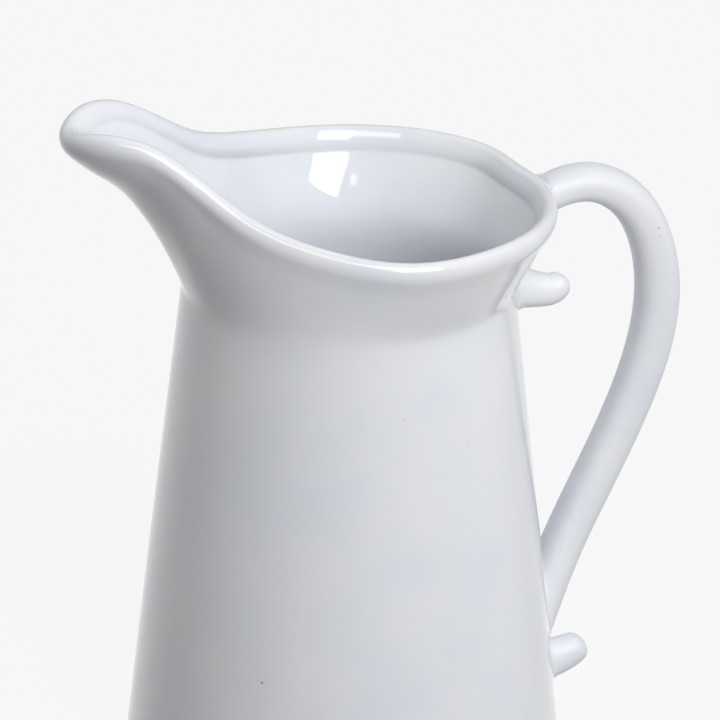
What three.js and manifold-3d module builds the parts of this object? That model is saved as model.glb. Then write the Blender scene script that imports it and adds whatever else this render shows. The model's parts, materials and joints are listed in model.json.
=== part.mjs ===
// Stoneware pitcher: a tapered body, a flared collar with one pulled spout, a loop handle and two small
// curled scrolls. Millimetres, +Z up. The jug stands on z = 0, its spout points to -X and its handle to +X.
// The members are luted together with a film of slip, which is the gap left between them.

import * as THREE from 'three';
import Module from 'manifold-3d';
import { mergeVertices } from 'three/addons/utils/BufferGeometryUtils.js';

const wasm = await Module();
wasm.setup();

// Driving dimensions

const SLIP = 0.3; // film of slip between two members

const NECK_HEIGHT = 204; // crease between the body and the collar
const NECK_RADIUS = 56.3;
const FOOT_RADIUS = 80.5;
const BODY_SWELL = 0.3; // how far the middle of the body's side stands out from a straight taper
const BODY_WALL = 5.5;
const EDGE_RADIUS = 4; // rounding of the body's lower edge

const RING_HEIGHT = 3; // the foot ring lifts the body off the table
const RING_RADIUS = 72;
const RING_WIDTH = 7;
const RING_BEVEL = 1;
const SLAB_THICKNESS = 6;

const COLLAR_WALL = 5.8;
const LIP_WALL = 6.6; // the wall swells to its rolled lip
const LIP_SWELL = 0.7; // share of the collar's height where that begins
const TIP_WALL = 8; // the lip is fuller at the spout's tip
const SPOUT_START = 64; // the collar's reach from the axis where it begins to turn into the spout

// How the spout opens above the neck: [share of the height, share of the reach]. Elsewhere both are equal.
const SPOUT_PROFILE = [
  [0, 0],
  [0.3, 0.18],
  [0.6, 0.42],
  [0.78, 0.65],
  [0.88, 0.84],
  [1, 1],
];

// Centre of the rolled lip, from the handle by the far side to the tip and back: [x, y, height above the neck].
// It was bent by hand, so its two sides aren't quite the same.
const LIP = [
  [66.2, 0, 26.3],
  [62.9, 15.5, 26.1],
  [59.2, 31, 26.1],
  [36, 54.2, 26.9],
  [5, 62.3, 27.4],
  [-23, 53, 31.3],
  [-44, 39.8, 38.5],
  [-60, 29, 50],
  [-75, 22.3, 58.8],
  [-87.2, 14, 60.6],
  [-95, 0, 58],
  [-88.4, -15, 61.2],
  [-75, -22.5, 60.4],
  [-60, -29, 50.8],
  [-44, -39.8, 38.5],
  [-23, -53, 30.9],
  [5, -62.3, 27.1],
  [36.4, -54.6, 26.9],
  [60, -30.8, 26.5],
  [65.5, -14, 26.4],
];

// Middle of the handle in the plane y = 0, from the rim round to the body: [x, z, thickness]
const HANDLE = [
  [62.9, 223.4, 11],
  [66.4, 226, 11.4],
  [72.5, 229.2, 11.9],
  [84, 230.8, 12.5],
  [97, 224.7, 13.8],
  [107.2, 208.5, 14.6],
  [110.9, 188, 15.1],
  [108.5, 166, 14.9],
  [101.3, 143, 14.3],
  [91, 118.5, 13.7],
  [80.4, 94, 13.3],
  [73.4, 73, 11.8],
  [69.8, 57, 8.6],
];
const HANDLE_WIDTH = 17;

// Middle of each scroll in the plane y = 0, from its root to its tip: [x, z, thickness]
const UPPER_SCROLL = [
  [52, 195.6, 17],
  [60, 194.2, 14.6],
  [64.5, 193.1, 12.8],
  [68.5, 192.4, 11.6],
  [72.6, 192.5, 10.5],
  [75.6, 193.1, 8.6],
  [77.6, 193.5, 4],
];
const LOWER_SCROLL = [
  [68, 45.4, 14.4],
  [77, 46.4, 13.6],
  [82, 47.8, 12.4],
  [86, 49.4, 10.6],
  [88.6, 50.5, 7.4],
  [89.9, 50.9, 3.6],
];
const SCROLL_WIDTH = 12;

const ROUND_STEPS = 64; // facets round the body
const LIP_STEPS = 76; // facets round the collar
const TUBE_STEPS = 16; // facets round the handle and the scrolls

const GLAZE = new THREE.MeshStandardMaterial({ color: 0xe4e8ea, roughness: 0.12, metalness: 0 });
const BARE_CLAY = new THREE.MeshStandardMaterial({ color: 0xd9cfbf, roughness: 0.85, metalness: 0 });

// Shapes

// Outer radius of the body at a height.
function bodyRadius(z) {
  const t = z / NECK_HEIGHT;
  return FOOT_RADIUS + (NECK_RADIUS - FOOT_RADIUS) * t + 4 * BODY_SWELL * t * (1 - t);
}

// Turns a profile of [radius, height] pairs round the jug's axis.
function turned(profile) {
  const points = profile.map(([radius, height]) => new THREE.Vector2(radius, height));
  return new THREE.LatheGeometry(points, ROUND_STEPS).rotateX(Math.PI / 2);
}

// Joins rings of points into one surface. The first and last ring are joined to each other, or each is closed
// by a fan to its middle.
function skin(rings, ringsClose) {
  const count = rings[0].length;
  const points = rings.flat();
  const faces = [];
  const ringPairs = ringsClose ? rings.length : rings.length - 1;
  for (let i = 0; i < ringPairs; i++) {
    const here = i * count;
    const next = ((i + 1) % rings.length) * count;
    for (let j = 0; j < count; j++) {
      const k = (j + 1) % count;
      faces.push(here + j, here + k, next + k, here + j, next + k, next + j);
    }
  }
  if (!ringsClose) {
    for (const [ring, turn] of [[0, 1], [rings.length - 1, 0]]) {
      const centre = points.length;
      const sum = rings[ring].reduce((total, point) => total.add(point), new THREE.Vector3());
      points.push(sum.divideScalar(count));
      for (let j = 0; j < count; j++) {
        const edge = [ring * count + j, ring * count + ((j + 1) % count)];
        faces.push(centre, edge[turn], edge[1 - turn]);
      }
    }
  }
  const geometry = new THREE.BufferGeometry().setFromPoints(points);
  geometry.setIndex(faces);
  return geometry;
}

// A closed geometry as a manifold solid.
function solid(geometry) {
  const bare = geometry.clone();
  bare.deleteAttribute('normal');
  bare.deleteAttribute('uv');
  const merged = mergeVertices(bare, 1e-4);
  const corners = merged.index.array;
  const triangles = [];
  for (let i = 0; i < corners.length; i += 3) {
    const [a, b, c] = corners.slice(i, i + 3);
    if (a !== b && b !== c && c !== a) triangles.push(a, b, c);
  }
  return new wasm.Manifold(new wasm.Mesh({
    numProp: 3,
    vertProperties: new Float32Array(merged.attributes.position.array),
    triVerts: new Uint32Array(triangles),
  }));
}

// A manifold solid as a geometry again.
function surface(body) {
  const mesh = body.getMesh();
  const geometry = new THREE.BufferGeometry();
  geometry.setAttribute('position', new THREE.BufferAttribute(new Float32Array(mesh.vertProperties), 3));
  geometry.setIndex(new THREE.BufferAttribute(new Uint32Array(mesh.triVerts), 1));
  return geometry;
}

// The lip's centre line, once round the jug, anticlockwise from above.
function lipCurve() {
  const points = LIP.map(([x, y, z]) => new THREE.Vector3(x, y, NECK_HEIGHT + z));
  return new THREE.CatmullRomCurve3(points, true, 'centripetal');
}

const lip = lipCurve();
lip.arcLengthDivisions = 800;
const tipReach = -Math.min(...LIP.map(([x]) => x));
const spoutProfile = new THREE.SplineCurve(SPOUT_PROFILE.map((pair) => new THREE.Vector2(...pair)));

// The lip's point at u, which runs round the jug from 0 to 1.
function lipPoint(u) {
  return lip.getPointAt(((u % 1) + 1) % 1);
}

// How far the collar has turned into the spout at u: 0 round the mouth, 1 at the tip.
function spoutShare(u) {
  const { x, y } = lipPoint(u);
  return THREE.MathUtils.smoothstep(Math.hypot(x, y) * (x < 0), SPOUT_START, tipReach);
}

// A point in the middle of the collar's wall: v runs up it, from 0 at the neck to 1 at the lip.
function collarMiddle(u, v) {
  const top = lipPoint(u);
  const reach = Math.hypot(top.x, top.y);
  const neck = NECK_RADIUS - COLLAR_WALL / 2;
  const { x: rise, y: run } = spoutProfile.getPoint(v);
  const radius = neck + (reach - neck) * THREE.MathUtils.lerp(rise, run, spoutShare(u));
  const low = NECK_HEIGHT + SLIP / 2;
  return new THREE.Vector3((top.x / reach) * radius, (top.y / reach) * radius, low + (top.z - low) * rise);
}

// Directions up along the wall and out of it.
function collarDirections(u, v) {
  const step = 1e-3;
  const low = Math.max(v - step, 0);
  const up = collarMiddle(u, low + step).sub(collarMiddle(u, low)).normalize();
  const round = collarMiddle(u + step, v).sub(collarMiddle(u - step, v));
  const out = round.cross(up).normalize();
  if (v === 0) out.setZ(0).normalize();
  return { up, out };
}

// The wall's section at u, from the neck up its outside and over the lip, and on down its inside if asked.
// grow thickens the wall on every side.
function collarSection(u, { grow = 0, inside = true } = {}) {
  const heights = [0, 0.1, 0.25, 0.4, 0.55, 0.7, 0.85, 1];
  const rolls = inside ? [30, 60, 90, 120, 150] : [30, 60, 90];
  const outer = heights.map((v) => [v, 0]);
  const top = rolls.map((roll) => [1, roll]);
  const inner = inside ? heights.toReversed().map((v) => [v, 180]) : [];
  return [...outer, ...top, ...inner].map(([v, roll]) => {
    const { up, out } = collarDirections(u, v);
    const angle = THREE.MathUtils.degToRad(roll);
    const wall = THREE.MathUtils.lerp(COLLAR_WALL, LIP_WALL, THREE.MathUtils.smoothstep(v, LIP_SWELL, 1));
    const half = THREE.MathUtils.lerp(wall, TIP_WALL, v * spoutShare(u) ** 2) / 2 + grow;
    const side = out.multiplyScalar(half * Math.cos(angle));
    return collarMiddle(u, v).add(side).addScaledVector(up, half * Math.sin(angle));
  });
}

// Rings of the collar's section, one ring for each point of it.
function collarRings(options) {
  const sections = Array.from({ length: LIP_STEPS }, (_, i) => collarSection(i / LIP_STEPS, options));
  return sections[0].map((_, j) => sections.map((section) => section[j]));
}

// A tube of oval section along stations of [x, z, thickness] in the plane y = 0.
function tube(stations, width, steps, widthFollows) {
  const curve = new THREE.CatmullRomCurve3(stations.map(([x, z, t]) => new THREE.Vector3(x, t, z)), false, 'centripetal');
  const fullest = Math.max(...stations.map((station) => station[2]));
  const rings = [];
  for (let i = 0; i <= steps; i++) {
    const { x, y: thickness, z } = curve.getPointAt(i / steps);
    const along = curve.getTangentAt(i / steps).setY(0).normalize();
    const across = new THREE.Vector3(along.z, 0, -along.x);
    const halfWidth = (width / 2) * (widthFollows ? Math.min(1, thickness / fullest) ** 0.7 : 1);
    rings.push(Array.from({ length: TUBE_STEPS }, (_, j) => {
      const angle = (2 * Math.PI * j) / TUBE_STEPS;
      const point = new THREE.Vector3(x, halfWidth * Math.sin(angle), z);
      return point.addScaledVector(across, (thickness / 2) * Math.cos(angle));
    }));
  }
  return solid(skin(rings, false));
}

// What the handle and the scrolls are trimmed against: the outside of the body and of the collar, filled, and
// one film of slip larger.
function trimForm() {
  const steps = [0, 0.25, 0.5, 0.75, 1].map((t) => t * NECK_HEIGHT);
  const side = steps.map((z) => [bodyRadius(z) + SLIP, z]);
  const body = solid(turned([[0, 0], ...side, [0, NECK_HEIGHT]]));
  const collar = solid(skin(collarRings({ grow: SLIP, inside: false }), false));
  return body.add(collar);
}

// Members

function footRing() {
  const inner = RING_RADIUS - RING_WIDTH;
  return turned([
    [inner + RING_BEVEL, 0],
    [RING_RADIUS - RING_BEVEL, 0],
    [RING_RADIUS, RING_BEVEL],
    [RING_RADIUS, RING_HEIGHT],
    [inner, RING_HEIGHT],
    [inner, RING_BEVEL],
    [inner + RING_BEVEL, 0],
  ]);
}

function baseSlab() {
  const low = RING_HEIGHT + SLIP;
  const high = low + SLAB_THICKNESS;
  const inset = BODY_WALL + SLIP;
  return turned([
    [0, low],
    [bodyRadius(low) - inset, low],
    [bodyRadius(high) - inset, high],
    [0, high],
  ]);
}

function bodyWall() {
  const low = RING_HEIGHT + SLIP;
  const top = NECK_HEIGHT - SLIP / 2;
  const side = [0.25, 0.5, 0.75].map((t) => low + t * (top - low));
  const edge = [0, 30, 60, 90].map((degrees) => {
    const angle = THREE.MathUtils.degToRad(degrees);
    const z = low + EDGE_RADIUS * (1 - Math.cos(angle));
    return [bodyRadius(z) - EDGE_RADIUS * (1 - Math.sin(angle)), z];
  });
  const outside = [...edge, ...side.map((z) => [bodyRadius(z), z]), [bodyRadius(top), top]];
  const inside = [top, ...side.toReversed(), low].map((z) => [bodyRadius(z) - BODY_WALL, z]);
  return turned([...outside, ...inside, outside[0]]);
}

function collarSpout() {
  return skin(collarRings(), true);
}

function handle(trim) {
  return surface(tube(HANDLE, HANDLE_WIDTH, 44, false).subtract(trim));
}

function scroll(stations, trim) {
  return surface(tube(stations, SCROLL_WIDTH, 14, true).subtract(trim));
}

const trim = trimForm();
const members = {
  foot_ring: [footRing(), BARE_CLAY],
  base_slab: [baseSlab(), GLAZE],
  body_wall: [bodyWall(), GLAZE],
  collar_spout: [collarSpout(), GLAZE],
  handle: [handle(trim), GLAZE],
  upper_scroll: [scroll(UPPER_SCROLL, trim), GLAZE],
  lower_scroll: [scroll(LOWER_SCROLL, trim), GLAZE],
};

// The jug's axis is set off in x, so that the middle of the whole pitcher's length lies on x = 0.
const jug = new THREE.Group();
for (const [name, [geometry, material]] of Object.entries(members)) {
  const mesh = new THREE.Mesh(geometry, material);
  mesh.name = name;
  jug.add(mesh);
}
const box = new THREE.Box3().setFromObject(jug);
jug.position.x = -(box.min.x + box.max.x) / 2;

const pitcher = new THREE.Group();
pitcher.add(jug);
export default pitcher;
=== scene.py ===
"""Looks of the stoneware pitcher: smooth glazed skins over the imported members, a pale studio and a camera."""

import json
import math

import bpy
import numpy as np
from mathutils import Matrix, Vector
from mathutils.bvhtree import BVHTree

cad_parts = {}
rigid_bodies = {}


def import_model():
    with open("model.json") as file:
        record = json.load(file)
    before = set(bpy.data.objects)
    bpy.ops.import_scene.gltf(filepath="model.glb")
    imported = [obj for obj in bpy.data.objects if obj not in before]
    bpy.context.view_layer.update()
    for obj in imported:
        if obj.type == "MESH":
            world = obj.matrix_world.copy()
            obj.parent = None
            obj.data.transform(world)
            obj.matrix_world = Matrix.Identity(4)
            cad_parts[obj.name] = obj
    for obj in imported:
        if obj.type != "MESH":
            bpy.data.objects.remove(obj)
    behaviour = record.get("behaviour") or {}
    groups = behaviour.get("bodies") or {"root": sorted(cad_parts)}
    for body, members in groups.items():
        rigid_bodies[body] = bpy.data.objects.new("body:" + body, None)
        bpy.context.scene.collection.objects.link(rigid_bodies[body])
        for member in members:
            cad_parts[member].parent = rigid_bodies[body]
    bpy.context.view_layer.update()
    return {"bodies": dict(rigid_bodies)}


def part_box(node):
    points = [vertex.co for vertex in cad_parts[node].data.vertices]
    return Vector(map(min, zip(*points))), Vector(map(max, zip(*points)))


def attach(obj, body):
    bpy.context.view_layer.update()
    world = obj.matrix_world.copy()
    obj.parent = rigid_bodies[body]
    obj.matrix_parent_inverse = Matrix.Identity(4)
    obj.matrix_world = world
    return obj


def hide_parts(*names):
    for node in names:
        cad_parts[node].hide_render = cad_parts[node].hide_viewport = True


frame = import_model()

MM = 0.001
BODY = next(iter(frame["bodies"]))
HALF_FILM = 0.15        # half of the slip between two members, in millimetres

# ---------------------------------------------------------------- places, from the frame

RING_LOW, RING_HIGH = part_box("foot_ring")
AXIS_X = (RING_LOW.x + RING_HIGH.x) / 2
RING_RADIUS = (RING_HIGH.x - RING_LOW.x) / 2
RING_HEIGHT = RING_HIGH.z - RING_LOW.z
BODY_LOW, BODY_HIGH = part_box("body_wall")
SLAB_LOW, SLAB_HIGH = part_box("base_slab")
NECK = BODY_HIGH.z + HALF_FILM * MM

# ---------------------------------------------------------------- driving sizes, in millimetres

NECK_RADIUS = 56.3
FOOT_RADIUS = 80.5
BODY_SWELL = 0.3
BODY_WALL = 5.5
EDGE_RADIUS = 4
COLLAR_WALL = 5.8
LIP_WALL = 6.6
LIP_SWELL = 9           # the wall swells to the lip over this depth
LIP_ROLL = 3            # the rounding of the lip's outside starts this far below its centre
TIP_WALL = 8
SPOUT_START = 64
CREASE = 0.8            # how softly the collar turns out of the body
JOIN_DROP = 12          # the collar's skin reaches this far below the crease
NECK_INSIDE = 4.3       # inner face from the middle of the wall, at the neck
BAND_INSIDE = 2.1       # and at the lower edge of the rounded band inside the lip
BAND = 6                # depth of that band, from the centre of the lip
BAND_FULLEST = 0.3      # share of that depth at which the band stands out most
BAND_SOFTNESS = 0.12
THICK_NECK = 30         # the body's wall thickens over this height below the neck
NECK_ROUNDING = 2.6     # how softly the inner face turns over the neck

# Centre of the rolled lip, from the handle by the far side to the tip and back: [x, y, height above neck].
# It was bent by hand, so its two sides aren't quite the same.
LIP = [
    [66.2, 0, 26.3],
    [62.9, 15.5, 26.1],
    [59.2, 31, 26.1],
    [36, 54.2, 26.9],
    [5, 62.3, 27.4],
    [-23, 53, 31.3],
    [-44, 39.8, 38.5],
    [-60, 29, 50],
    [-75, 22.3, 58.8],
    [-87.2, 14, 60.6],
    [-95, 0, 58],
    [-88.4, -15, 61.2],
    [-75, -22.5, 60.4],
    [-60, -29, 50.8],
    [-44, -39.8, 38.5],
    [-23, -53, 30.9],
    [5, -62.3, 27.1],
    [36.4, -54.6, 26.9],
    [60, -30.8, 26.5],
    [65.5, -14, 26.4],
]

# How the spout opens above the neck: [share of the height, share of the reach]
SPOUT_PROFILE = [[0, 0], [0.3, 0.18], [0.6, 0.42], [0.78, 0.65], [0.88, 0.84], [1, 1]]

# Middle of the handle, from the rim to the body: [along the jug, height above the neck, thickness, width]
HANDLE = [
    [62.9, 19.4, 11, 13],
    [66.4, 22, 11.4, 14],
    [72.5, 25.2, 11.9, 15],
    [84, 26.8, 12.5, 16],
    [97, 20.7, 13.8, 17],
    [107.2, 4.5, 14.6, 17],
    [110.9, -16, 15.1, 17],
    [108.5, -38, 14.9, 17],
    [101.3, -61, 14.3, 17],
    [91, -85.5, 13.7, 18],
    [80.4, -110, 13.3, 19],
    [73.4, -131, 11.8, 21],
    [69.8, -147, 8.6, 20],
    [67, -160, 5, 18],
]
# Fillet of the handle: [share of its length, size]. Its lower end is smeared on to the body.
HANDLE_FILLETS = [[0.1, 2.6], [0.78, 1], [0.9, 2], [1, 4]]

# Middle of each scroll, from its root to its tip, as for the handle
UPPER_SCROLL = [
    [52, -8.4, 17, 15],
    [60, -9.8, 14.6, 14],
    [64.5, -10.9, 12.8, 13],
    [68.5, -11.6, 11.6, 12],
    [72.6, -11.5, 10.5, 11],
    [75.6, -9.9, 8.4, 10],
    [77.8, -8.4, 6.2, 9],
]
LOWER_SCROLL = [
    [68, -158.6, 14.4, 14],
    [77, -157.6, 13.6, 13],
    [82, -156.2, 12.4, 12],
    [86, -154.4, 10.8, 11],
    [89.6, -152, 7.8, 9.4],
]
SCROLL_FILLETS = [[0, 4], [0.5, 4], [1, 2]]
SCROLL_TIP = 2.9        # length of the rounding at a scroll's tip
SQUARENESS = 2.4        # of the section of the handle and the scrolls: 2 is an ellipse
DIP = 0.8               # a buried edge goes this far under the clay
SINK = 0.45             # and the feathered edge of a fillet this far

RING_WIDTH = 7          # of the foot ring
RING_ROUNDING = 1.2
RING_BURIED = 0.3       # the ring's top goes this far into the floor of the jug
COVE = 7                # radius of the rounding between the floor and the wall inside
SLAB_BURIED = 0.4       # the floor's edge goes this far into the wall
COVE_BURIED = 0.15      # and the top of the cove this far,
COVE_RETURN = 0.6       # before it turns back inside the wall
HUB = 0.05              # radius of the smallest ring round the axis

COLUMNS = 420           # vertices round the jug
BODY_ROWS = 90
CREASE_ROWS = 14
COLLAR_ROWS = 70
LIP_ROWS = 18
SHARP_ANGLE = 60        # edges that bend more than this stay sharp, in degrees


# ---------------------------------------------------------------- curves

def smooth(x, low, high):
    """0 below low, 1 above high, and an S between them."""
    t = np.clip((x - low) / (high - low), 0, 1)
    return t * t * (3 - 2 * t)


def spline(knots, values, at, closed=False):
    """A cubic spline with a continuous curvature through values at knots. closed repeats after the last
    knot, where values holds the first value again."""
    knots, values = np.asarray(knots, float), np.asarray(values, float)
    step = np.diff(knots)
    slope = np.diff(values, axis=0) / step.reshape(-1, *[1] * (values.ndim - 1))
    count = len(knots)
    matrix = np.eye(count)
    right = np.zeros_like(values)
    for i in range(1, count - 1):
        matrix[i, i - 1:i + 2] = step[i - 1], 2 * (step[i - 1] + step[i]), step[i]
        right[i] = 6 * (slope[i] - slope[i - 1])
    if closed:
        matrix[0, [0, 1, -2]] = 2 * (step[-1] + step[0]), step[0], step[-1]
        right[0] = 6 * (slope[0] - slope[-1])
        matrix[-1, [0, -1]] = 1, -1
    bend = np.linalg.solve(matrix, right)
    i = np.clip(np.searchsorted(knots, at, side="right") - 1, 0, count - 2)
    shape = (-1, *[1] * (values.ndim - 1))
    h = step[i].reshape(shape)
    a = (knots[i + 1] - at).reshape(shape)
    b = (at - knots[i]).reshape(shape)
    curve = (bend[i] * a ** 3 + bend[i + 1] * b ** 3) / (6 * h)
    return curve + (values[i] / h - bend[i] * h / 6) * a + (values[i + 1] / h - bend[i + 1] * h / 6) * b


def lengths(points):
    """Distance along a line to each of its points."""
    return np.concatenate([[0], np.cumsum(np.linalg.norm(np.diff(points, axis=0), axis=1))])


def along(points, count, closed=False, axes=3):
    """count points evenly spaced along the smooth curve through points, whose first numbers, as many as
    axes, are the place and whose other numbers follow it."""
    points = np.asarray(points, float)
    if closed:
        points = np.vstack([points, points[:1]])
    chord = lengths(points[:, :axes])
    fine = spline(chord, points, np.linspace(0, chord[-1], 4000), closed)
    length = lengths(fine[:, :axes])
    places = np.linspace(0, length[-1], count, endpoint=not closed)
    return np.stack([np.interp(places, length, fine[:, k]) for k in range(points.shape[1])], axis=1)


# ---------------------------------------------------------------- the jug's wall

def body_radius(z):
    """Outer radius of the body at a height, in millimetres."""
    t = z / (NECK / MM)
    return FOOT_RADIUS + (NECK_RADIUS - FOOT_RADIUS) * t + 4 * BODY_SWELL * t * (1 - t)


def softer_max(a, b, softness):
    return (a + b + np.sqrt((a - b) ** 2 + 4 * softness ** 2)) / 2


class Wall:
    """The middle of the jug's wall as a grid, rows from the foot to the lip and columns round the jug, with
    the directions out of it and up along it. Millimetres, from the jug's axis and the table."""

    def __init__(self):
        lip = along(LIP, COLUMNS, closed=True)
        self.reach = np.hypot(lip[:, 0], lip[:, 1])
        self.round = lip[:, :2] / self.reach[:, None]
        self.height = lip[:, 2]
        tip = -min(x for x, y, z in LIP)
        self.spout = smooth(np.where(lip[:, 0] < 0, self.reach, 0), SPOUT_START, tip)

        neck = NECK / MM
        low = BODY_LOW.z / MM
        join = neck - JOIN_DROP
        edge = low + EDGE_RADIUS * (1 - np.cos(np.linspace(0, math.pi / 2, 12)))
        body = np.concatenate([edge, np.linspace(edge[-1], join, BODY_ROWS)[1:]])
        crease = np.linspace(join, neck, CREASE_ROWS)[1:]
        share = np.linspace(0, 1, COLLAR_ROWS)[1:]
        below = np.concatenate([body, crease])
        z = np.vstack([
            np.repeat(below[:, None], COLUMNS, axis=1),
            neck + share[:, None] * self.height[None, :],
        ])
        self.join_row = len(body) - 1
        self.share = np.clip((z - neck) / self.height[None, :], 0, 1)

        middle = NECK_RADIUS - COLLAR_WALL / 2
        rise, run = np.transpose(SPOUT_PROFILE)
        opened = spline(rise, run, self.share.ravel()).reshape(z.shape)
        opened = self.share + self.spout * (opened - self.share)
        first = spline(rise, run, np.array([1e-4]))[0] / 1e-4
        start = (self.reach - middle) * (1 + self.spout * (first - 1)) / self.height
        flare = middle + (self.reach - middle) * opened + np.minimum(z - neck, 0) * start
        cone = body_radius(z) - (BODY_WALL + (COLLAR_WALL - BODY_WALL) * smooth(z, join, neck)) / 2
        radius = softer_max(flare, cone, CREASE)
        self.rounding = softer_max(flare, cone, NECK_ROUNDING) - radius
        self.z = z
        self.middle = np.dstack([self.round[:, 0] * radius, self.round[:, 1] * radius, z])

        self.up = np.gradient(self.middle, axis=0)
        self.up /= np.linalg.norm(self.up, axis=2, keepdims=True)
        around = np.roll(self.middle, -1, axis=1) - np.roll(self.middle, 1, axis=1)
        self.out = np.cross(around, self.up)
        self.out /= np.linalg.norm(self.out, axis=2, keepdims=True)
        self.low = low

    def halves(self):
        """Thickness of the wall outside and inside of its middle."""
        neck = NECK / MM
        wall = BODY_WALL + (COLLAR_WALL - BODY_WALL) * smooth(self.z, neck - JOIN_DROP, neck)
        step = np.linalg.norm(np.diff(self.middle, axis=0), axis=2)
        drop = np.vstack([np.cumsum(step[::-1], axis=0)[::-1], np.zeros((1, COLUMNS))])
        wall += (LIP_WALL - COLLAR_WALL) * (1 - smooth(drop, 0, LIP_SWELL))
        half = (wall + (TIP_WALL - LIP_WALL) * self.share * self.spout ** 2) / 2
        edge = np.clip(1 - (self.z - self.low) / EDGE_RADIUS, 0, 1)
        outer = half - EDGE_RADIUS * (1 - np.sqrt(1 - edge ** 2))
        outer *= np.sqrt(1 - (np.clip(LIP_ROLL - drop, 0, None) / (LIP_ROLL + half[-1])) ** 2)
        full = drop[np.searchsorted(self.z[:, 0], neck - 1e-6)]
        climb = (drop - BAND) / (full - BAND)
        collar = BAND_INSIDE + (NECK_INSIDE - BAND_INSIDE) * climb
        past = (drop / BAND - BAND_FULLEST) / (1 - BAND_FULLEST)
        band = half[-1] - (half[-1] - BAND_INSIDE) * past ** 2
        body = BODY_WALL / 2 + (NECK_INSIDE - BODY_WALL / 2) * smooth(self.z, neck - THICK_NECK, neck)
        inner = np.where(self.z < neck, body, softer_max(collar, band, BAND_SOFTNESS))
        inner -= self.rounding * np.clip(climb, 0, 1)
        return outer, inner

    def skins(self):
        """Rings of the outer skin from foot to lip, of the roll over the lip, and of the inner skin."""
        outer, inner = self.halves()
        outside = self.middle + self.out * outer[:, :, None]
        inside = self.middle - self.out * inner[:, :, None]
        half = inner[-1][:, None]
        flat = half * outer[-1][:, None] / np.sqrt(half ** 2 - (half * LIP_ROLL / (LIP_ROLL + half)) ** 2)
        roll = []
        for turn in np.linspace(0, math.pi, LIP_ROWS + 2)[1:-1]:
            rise = half * math.sin(turn)
            reach = half * math.cos(turn)
            if reach[0] > 0:
                reach = flat * np.sqrt(1 - ((LIP_ROLL + rise) / (LIP_ROLL + half)) ** 2)
            roll.append(self.middle[-1] + self.out[-1] * reach + self.up[-1] * rise)
        return outside, np.array(roll), inside


# ---------------------------------------------------------------- meshes

def placed(points):
    """Millimetres from the jug's axis to metres in the frame."""
    return np.asarray(points) * MM + [AXIS_X, 0, 0]


def add_piece(name, points, faces, material, nodes, slot, worn=None):
    """worn says how thin the glaze lies at each point, from 0 to 1."""
    mesh = bpy.data.meshes.new(name)
    mesh.from_pydata(placed(points).tolist(), [], faces)
    mesh.validate()
    mesh.polygons.foreach_set("use_smooth", [True] * len(mesh.polygons))
    mesh.set_sharp_from_angle(angle=math.radians(SHARP_ANGLE))
    mesh.materials.append(material)
    if worn is not None:
        mesh.attributes.new("worn", "FLOAT", "POINT").data.foreach_set("value", worn)
    piece = bpy.data.objects.new(name, mesh)
    bpy.context.scene.collection.objects.link(piece)
    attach(piece, BODY)
    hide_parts(*nodes)


def skin(rings, joined):
    """Points and faces of a surface through rings. The first and last ring are joined, or each closed by a
    fan."""
    rings = np.asarray(rings)
    count, size = rings.shape[:2]
    points = rings.reshape(-1, 3)
    near = np.arange(size)
    far = np.roll(near, -1)
    faces = []
    for i in range(count if joined else count - 1):
        here, there = i * size, (i + 1) % count * size
        faces += np.stack([here + near, here + far, there + far, there + near], axis=1).tolist()
    if not joined:
        middles = rings[[0, -1]].mean(axis=1)
        points = np.vstack([points, middles])
        first, last = count * size, count * size + 1
        end = (count - 1) * size
        faces += [[first, int(b), int(a)] for a, b in zip(near, far)]
        faces += [[last, int(end + a), int(end + b)] for a, b in zip(near, far)]
    return points, faces


def turned(profile, steps=220):
    """A closed profile of [radius, height] turned round the axis."""
    angle = np.linspace(0, 2 * math.pi, steps, endpoint=False)
    rings = [
        np.stack([r * np.cos(angle), r * np.sin(angle), np.full(steps, z)], axis=1)
        for r, z in profile
    ]
    return skin(rings, True)


def arc(centre, radius, start, end, steps=8):
    """Points of an arc, in degrees."""
    angles = np.radians(np.linspace(start, end, steps))
    return [[centre[0] + radius * math.cos(a), centre[1] + radius * math.sin(a)] for a in angles]


class Sheet:
    """A surface through one or more stacks of rings, and the distance from it."""

    def __init__(self, *stacks):
        points, faces = [], []
        for rings in stacks:
            start = len(points)
            count, size = rings.shape[:2]
            near = np.arange(size)
            far = np.roll(near, -1)
            points += [tuple(point) for point in rings.reshape(-1, 3)]
            for i in range(count - 1):
                here, there = start + i * size, start + (i + 1) * size
                faces += np.stack([here + near, here + far, there + far, there + near], axis=1).tolist()
        self.tree = BVHTree.FromPolygons(points, faces)

    def distance(self, point):
        """How far a point is outside the sheet, or minus how deep, with its nearest place and the way out."""
        place, normal, _, gap = self.tree.find_nearest(Vector(point))
        if (Vector(point) - place).dot(normal) < 0:
            gap = -gap
        return gap, np.array(place), np.array(normal)


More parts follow.
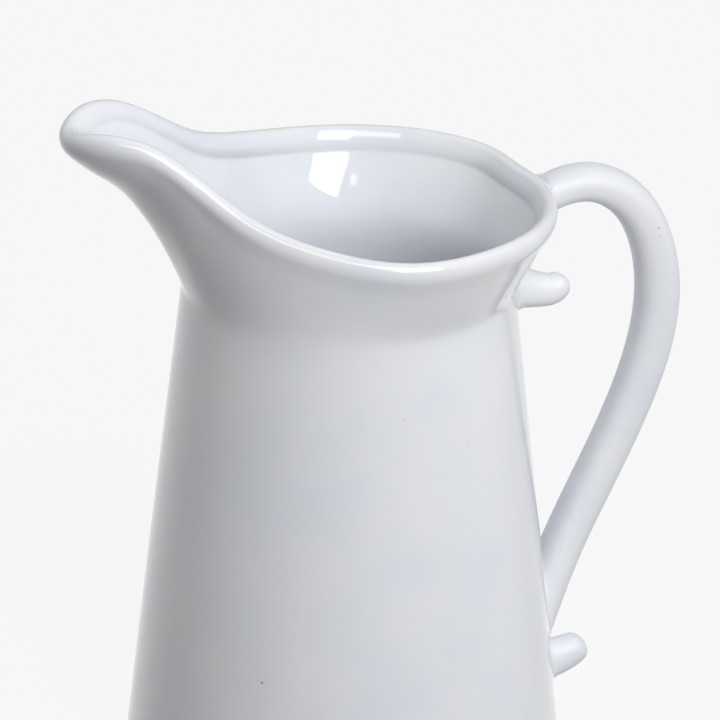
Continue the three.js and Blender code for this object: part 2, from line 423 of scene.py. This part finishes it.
def stuck_tube(stations, fillets, clay, core, tip=0.0, rings=150, steps=72):
    """Rings of a squarish tube through stations of [x, height above the neck, thickness, width]. It runs
    into the clay with a fillet, dips just under it, and goes no deeper than the core. tip is the length of
    the rounding at its end."""
    line = along(stations, rings, axes=2)
    spot = np.stack([line[:, 0], np.zeros(rings), line[:, 1] + NECK / MM], axis=1)
    tangent = np.gradient(spot, axis=0)
    tangent /= np.linalg.norm(tangent, axis=1, keepdims=True)
    across = np.stack([tangent[:, 2], np.zeros(rings), -tangent[:, 0]], axis=1)
    length = lengths(spot)
    half = line[:, 2:4] / 2
    if tip:
        end = np.clip((length - length[-1] + tip) / tip, 0, 0.995)
        half = half * np.sqrt(1 - end ** 2)[:, None]
    fillet = np.interp(length / length[-1], *np.transpose(fillets))
    angle = np.linspace(0, 2 * math.pi, steps, endpoint=False)
    section = np.stack([np.cos(angle), np.sin(angle)], axis=1)
    section = np.sign(section) * abs(section) ** (2 / SQUARENESS)
    surface = np.zeros((rings, steps, 3))
    for i in range(rings):
        for j in range(steps):
            flat = across[i] * section[j, 0] * half[i, 0]
            flat[1] = section[j, 1] * half[i, 1]
            own = np.linalg.norm(flat)
            surface[i, j] = reach_out(spot[i], flat / own, own, fillet[i], clay, core)
    return surface


def reach_out(centre, ray, own, fillet, clay, core):
    """Where a ray from the tube's middle leaves the tube and its fillet."""
    def outside(reach):
        gap = clay.distance(centre + ray * reach)[0]
        alone = reach - own
        blend = max(fillet - abs(gap - alone), 0) / fillet
        return min(gap, alone) - blend * blend * fillet / 4 > 0

    if clay.distance(centre + ray * own)[0] > fillet:
        return keep_in(centre + ray * own, core)
    low = own * 0.9
    for high in np.linspace(own, own + 2.2 * fillet, 14):
        if outside(high):
            break
        low = high
        if clay.distance(centre + ray * high)[0] < -DIP:
            return keep_in(centre + ray * high, core)
    else:
        gap, place, normal = clay.distance(centre + ray * high)
        return keep_in(centre + ray * high - normal * max(gap + DIP, 0), core)
    for _ in range(12):
        middle = (low + high) / 2
        low, high = (low, middle) if outside(middle) else (middle, high)
    point = centre + ray * high
    dip = float(smooth(high - own, 0.75 * fillet, 1.2 * fillet)) * SINK
    return keep_in(point - clay.distance(point)[2] * dip, core)


def keep_in(point, core):
    """The point, or the nearest place on the core where the point is behind it."""
    gap, place, _ = core.distance(point)
    return place if gap < 0 else point


# ---------------------------------------------------------------- materials

# Iron specks in the glaze: [x, y, height], radius and strength, in millimetres from the jug's axis and
# the table
SPECKS = [
    [[107.6, -8, 214.8], 0.42, 0.75],
    [[107.8, -8.3, 211.9], 0.36, 0.5],
    [[-43.3, -56.2, 82.8], 0.5, 0.8],
    [[3.8, -59.6, 177.3], 0.4, 0.25],
    [[27.1, -55, 164.1], 0.4, 0.25],
    [[-61.3, -20.4, 136.6], 0.4, 0.3],
]
SPECK_COLOUR = (0.3, 0.22, 0.15, 1)
WORN_COLOUR = (0.8, 0.73, 0.6, 1)
WORN_MOST = 0.5         # share of the bare clay where the glaze is thinnest
BLUISH = (0.775, 0.805, 0.86, 1)
WHITISH = (0.82, 0.835, 0.86, 1)
SPECK_CORE = 0.6        # a speck is full inside this share of its radius
SPECK_RIM = 1.2         # and gone outside this one
RIPPLE_DEPTH = 0.5      # in millimetres
DARK_CLAY = (0.62, 0.53, 0.42, 1)
PALE_CLAY = (0.72, 0.65, 0.55, 1)


def glaze_material(name, roughness):
    material = bpy.data.materials.new(name)
    material.use_nodes = True
    nodes, links = material.node_tree.nodes, material.node_tree.links
    shader = nodes["Principled BSDF"]
    shader.inputs["Roughness"].default_value = roughness
    shader.inputs["IOR"].default_value = 1.5
    place = nodes.new("ShaderNodeTexCoord").outputs["Object"]

    def noise(scale, detail):
        texture = nodes.new("ShaderNodeTexNoise")
        texture.inputs["Scale"].default_value = scale
        texture.inputs["Detail"].default_value = detail
        links.new(place, texture.inputs["Vector"])
        return texture.outputs["Fac"]

    def arithmetic(operation, first, second):
        step = nodes.new("ShaderNodeMath")
        step.operation = operation
        step.use_clamp = True
        links.new(first, step.inputs[0])
        if isinstance(second, (int, float)):
            step.inputs[1].default_value = second
        else:
            links.new(second, step.inputs[1])
        return step.outputs[0]

    def mixed(factor, first, second):
        mix = nodes.new("ShaderNodeMix")
        mix.data_type = "RGBA"
        links.new(factor, mix.inputs["Factor"])
        for colour, socket in ((first, mix.inputs["A"]), (second, mix.inputs["B"])):
            if isinstance(colour, tuple):
                socket.default_value = colour
            else:
                links.new(colour, socket)
        return mix.outputs["Result"]

    def stretched(value, low, high):
        spread = nodes.new("ShaderNodeMapRange")
        spread.inputs["From Min"].default_value = low
        spread.inputs["From Max"].default_value = high
        links.new(value, spread.inputs["Value"])
        return spread.outputs["Result"]

    colour = mixed(stretched(noise(30, 6), 0.35, 0.65), BLUISH, WHITISH)
    thinness = nodes.new("ShaderNodeAttribute")
    thinness.attribute_name = "worn"
    bare = arithmetic("MULTIPLY", thinness.outputs["Fac"], stretched(noise(38, 3), 0.4, 0.62))
    colour = mixed(arithmetic("MULTIPLY", bare, WORN_MOST), colour, WORN_COLOUR)
    for spot, radius, strength in SPECKS:
        gap = nodes.new("ShaderNodeVectorMath")
        gap.operation = "DISTANCE"
        links.new(place, gap.inputs[0])
        gap.inputs[1].default_value = placed(spot)
        inside_speck = stretched(gap.outputs["Value"], radius * MM * SPECK_RIM, radius * MM * SPECK_CORE)
        colour = mixed(arithmetic("MULTIPLY", inside_speck, strength), colour, SPECK_COLOUR)
    links.new(colour, shader.inputs["Base Color"])

    ripple = nodes.new("ShaderNodeBump")
    ripple.inputs["Strength"].default_value = 0.35
    ripple.inputs["Distance"].default_value = RIPPLE_DEPTH * MM
    links.new(noise(55, 1), ripple.inputs["Height"])
    links.new(ripple.outputs["Normal"], shader.inputs["Normal"])
    return material


def bare_clay_material():
    material = bpy.data.materials.new("bare_clay")
    material.use_nodes = True
    nodes, links = material.node_tree.nodes, material.node_tree.links
    shader = nodes["Principled BSDF"]
    shader.inputs["Roughness"].default_value = 0.8
    grain = nodes.new("ShaderNodeTexNoise")
    grain.inputs["Scale"].default_value = 900
    tone = nodes.new("ShaderNodeMix")
    tone.data_type = "RGBA"
    tone.inputs["A"].default_value = DARK_CLAY
    tone.inputs["B"].default_value = PALE_CLAY
    links.new(grain.outputs["Fac"], tone.inputs["Factor"])
    links.new(tone.outputs["Result"], shader.inputs["Base Color"])
    return material


GLAZE = glaze_material("glaze", 0.05)
SOFT_GLAZE = glaze_material("soft_glaze", 0.5)
BARE_CLAY = bare_clay_material()


# ---------------------------------------------------------------- pieces

wall = Wall()
outside, roll, inside = wall.skins()
join = wall.join_row

body_skin = skin(np.concatenate([outside[:join + 1], inside[join::-1]]), True)
add_piece("glazed_body", *body_skin, GLAZE, ["body_wall"], "glaze")

collar_skin = skin(np.concatenate([outside[join:], roll, inside[:join - 1:-1]]), True)
crest = np.sin(np.linspace(0, math.pi, LIP_ROWS)) ** 4
level = np.zeros(len(outside) - join)
far_side = smooth(wall.middle[-1, :, 1], -5, 25)
worn = np.outer(np.concatenate([level, crest, level]), far_side).ravel()
add_piece("glazed_collar", *collar_skin, GLAZE, ["collar_spout"], "glaze", worn=worn)

whole = np.concatenate([outside, roll, inside[:join - 1:-1]])
core = Sheet(wall.middle)
handle_rings = stuck_tube(HANDLE, HANDLE_FILLETS, Sheet(whole), core, rings=240)
add_piece("glazed_handle", *skin(handle_rings, False), SOFT_GLAZE, ["handle"], "glaze")

clay = Sheet(whole, handle_rings)
for name, node, stations in (
    ("glazed_upper_scroll", "upper_scroll", UPPER_SCROLL),
    ("glazed_lower_scroll", "lower_scroll", LOWER_SCROLL),
):
    scroll_rings = stuck_tube(stations, SCROLL_FILLETS, clay, core, SCROLL_TIP)
    add_piece(name, *skin(scroll_rings, False), SOFT_GLAZE, [node], "glaze")


def foot_ring_profile():
    """The foot ring's closed section, with two rounded edges that touch the table."""
    ring_out = RING_RADIUS / MM
    ring_in = ring_out - RING_WIDTH
    ring_top = RING_HEIGHT / MM + RING_BURIED
    return (
        arc((ring_out - RING_ROUNDING, RING_ROUNDING), RING_ROUNDING, -90, 0)
        + [[ring_out, ring_top], [ring_in, ring_top]]
        + arc((ring_in + RING_ROUNDING, RING_ROUNDING), RING_ROUNDING, 180, 270)
    )


def base_profile():
    """The floor's closed section, with a cove that runs up into the wall."""
    low, high = SLAB_LOW.z / MM, SLAB_HIGH.z / MM
    edge = body_radius(low) - BODY_WALL + SLAB_BURIED
    cove_edge = body_radius(high + COVE) - BODY_WALL + COVE_BURIED
    return (
        [[HUB, high], [edge * 0.5, high]]
        + arc((cove_edge - COVE, high + COVE), COVE, -90, 0, 14)
        + [[cove_edge + COVE_RETURN, high + COVE], [edge, low], [edge * 0.5, low], [HUB, low]]
    )


add_piece("bare_foot_ring", *turned(foot_ring_profile()), BARE_CLAY, ["foot_ring"], "bare_clay")
add_piece("glazed_base", *turned(base_profile()[::-1]), GLAZE, ["base_slab"], "glaze")


# ---------------------------------------------------------------- studio

FLOOR_HALF = 6.0
FLOOR_GLOW = 0.895


def make_floor():
    half = FLOOR_HALF
    corners = [(-half, -half, 0), (half, -half, 0), (half, half, 0), (-half, half, 0)]
    mesh = bpy.data.meshes.new("floor")
    mesh.from_pydata(corners, [], [(0, 1, 2, 3)])
    floor = bpy.data.objects.new("floor", mesh)
    bpy.context.scene.collection.objects.link(floor)
    material = bpy.data.materials.new("floor")
    material.use_nodes = True
    shader = material.node_tree.nodes["Principled BSDF"]
    shader.inputs["Base Color"].default_value = (0.05, 0.05, 0.05, 1)
    shader.inputs["Roughness"].default_value = 0.9
    shader.inputs["Specular IOR Level"].default_value = 0
    shader.inputs["Emission Color"].default_value = (1, 1, 1, 1)
    shader.inputs["Emission Strength"].default_value = FLOOR_GLOW
    mesh.materials.append(material)
    floor.visible_diffuse = False
    floor.visible_glossy = False


def direction(azimuth, elevation):
    """Unit vector at degrees round from the front towards +X, and up."""
    a, e = math.radians(azimuth), math.radians(elevation)
    return (math.sin(a) * math.cos(e), -math.cos(a) * math.cos(e), math.sin(e))


# Soft glows of the room: [azimuth, elevation, strength]. The table began as the output of a least-squares
# solver: all directions but 165/-24, -10/-50 and 150/50 are still the solver's. The strengths but the one
# at 150/-20 were then set one by one.
GLOWS = [
    [150, -60, 1.0],
    [165, -24, 0.1],
    [-150, -20, 0.95],
    [-105, 15, 0.68],
    [75, 50, 0.44],
    [90, -20, 0.72],
    [150, -20, 0.6],
    [-10, -50, 0.42],
    [-165, 50, 0.7],
    [150, 50, 0.5],
]
GLOW_FALL = 6           # power of the cosine by which a glow fades to its sides


def make_world():
    world = bpy.data.worlds.new("studio")
    world.use_nodes = True
    nodes, links = world.node_tree.nodes, world.node_tree.links
    place = nodes.new("ShaderNodeTexCoord")
    total = None
    for azimuth, elevation, strength in GLOWS:
        facing = nodes.new("ShaderNodeVectorMath")
        facing.operation = "DOT_PRODUCT"
        facing.inputs[1].default_value = direction(azimuth, elevation)
        links.new(place.outputs["Generated"], facing.inputs[0])
        lit = nodes.new("ShaderNodeMath")
        lit.operation = "MAXIMUM"
        lit.inputs[1].default_value = 0
        links.new(facing.outputs["Value"], lit.inputs[0])
        lobe = nodes.new("ShaderNodeMath")
        lobe.operation = "POWER"
        lobe.inputs[1].default_value = GLOW_FALL
        links.new(lit.outputs[0], lobe.inputs[0])
        add = nodes.new("ShaderNodeMath")
        add.operation = "MULTIPLY_ADD"
        add.inputs[1].default_value = strength
        links.new(lobe.outputs[0], add.inputs[0])
        if total is None:
            add.inputs[2].default_value = 0
        else:
            links.new(total, add.inputs[2])
        total = add.outputs[0]
    links.new(total, nodes["Background"].inputs["Strength"])
    nodes["Background"].inputs["Color"].default_value = (1, 1, 1, 1)
    bpy.context.scene.world = world


SOFTBOX_DISTANCE = 1.6


def make_softbox(name, azimuth, elevation, size, radiance):
    """An area light that faces the jug's neck."""
    light = bpy.data.lights.new(name, "AREA")
    light.shape = "RECTANGLE"
    light.size, light.size_y = size
    light.energy = radiance * math.pi * size[0] * size[1]
    lamp = bpy.data.objects.new(name, light)
    bpy.context.scene.collection.objects.link(lamp)
    target = Vector((AXIS_X, 0, NECK))
    towards = Vector(direction(azimuth, elevation))
    lamp.location = target + towards * SOFTBOX_DISTANCE
    lamp.rotation_euler = towards.to_track_quat("Z", "Y").to_euler()
    return lamp


make_floor()
make_world()
make_softbox("key_softbox", 12, 35, (0.9, 1.3), 6.9)
make_softbox("small_softbox", -13, 24, (0.12, 0.12), 5)
gleam = make_softbox("gleam_softbox", -20, 42, (0.84, 0.42), 4.5)
gleam.visible_diffuse = False


# ---------------------------------------------------------------- camera

AZIMUTH = -15
ELEVATION = 23.5
ROLL = 0.87
DISTANCE = 1.3
SENSOR = 36             # in millimetres
AIM = (AXIS_X + 0.0044, 0, NECK - 0.0318)
FIELD = 0.244           # width of the view at the neck's distance

camera_data = bpy.data.cameras.new("camera")
camera_data.sensor_width = SENSOR
camera_data.lens = SENSOR * DISTANCE / FIELD
camera_data.clip_end = 50
camera = bpy.data.objects.new("camera", camera_data)
bpy.context.scene.collection.objects.link(camera)
back = Vector(direction(AZIMUTH, ELEVATION))
camera.location = Vector((AXIS_X, 0, NECK)) + back * DISTANCE
turn = (Vector(AIM) - camera.location).to_track_quat("-Z", "Y").to_matrix().to_4x4()
camera.rotation_euler = (turn @ Matrix.Rotation(math.radians(ROLL), 4, "Z")).to_euler()
bpy.context.scene.camera = camera
bpy.context.scene.view_settings.view_transform = "Standard"
